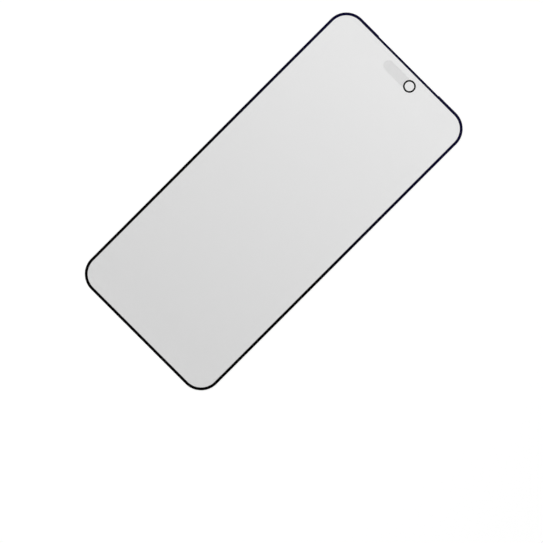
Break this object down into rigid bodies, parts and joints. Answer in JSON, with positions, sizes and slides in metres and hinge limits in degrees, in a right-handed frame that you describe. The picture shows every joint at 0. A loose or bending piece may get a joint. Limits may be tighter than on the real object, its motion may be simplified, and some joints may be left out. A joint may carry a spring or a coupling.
{
  "type": "phone screen protector",
  "caption": "Thin flat sheet of grey tinted glass with rounded corners and a ground rim, a black printed border and a camera ring; lies over a phone's display.",
  "frame": {"origin": "middle of the underside, the face that goes against the display, on the surface that the sheet lies on", "axes": "+Y along the length towards the earpiece end, +X across the width towards the camera ring, +Z out of the face that is touched"},
  "size_m": [0.066, 0.1424, 0.0004],
  "materials": {
    "tinted_glass": "polished, grey tint that deepens from the earpiece end to the other",
    "border_print": "black print seen through glass, turning navy at the earpiece end",
    "ring_print": "black print seen through glass",
    "window_tint": "see-through grey print"
  },
  "bodies": {
    "root": {"glass_sheet": "tinted_glass", "black_border": "border_print", "camera_ring": "ring_print", "sensor_window": "window_tint"}
  },
  "joints": []
}
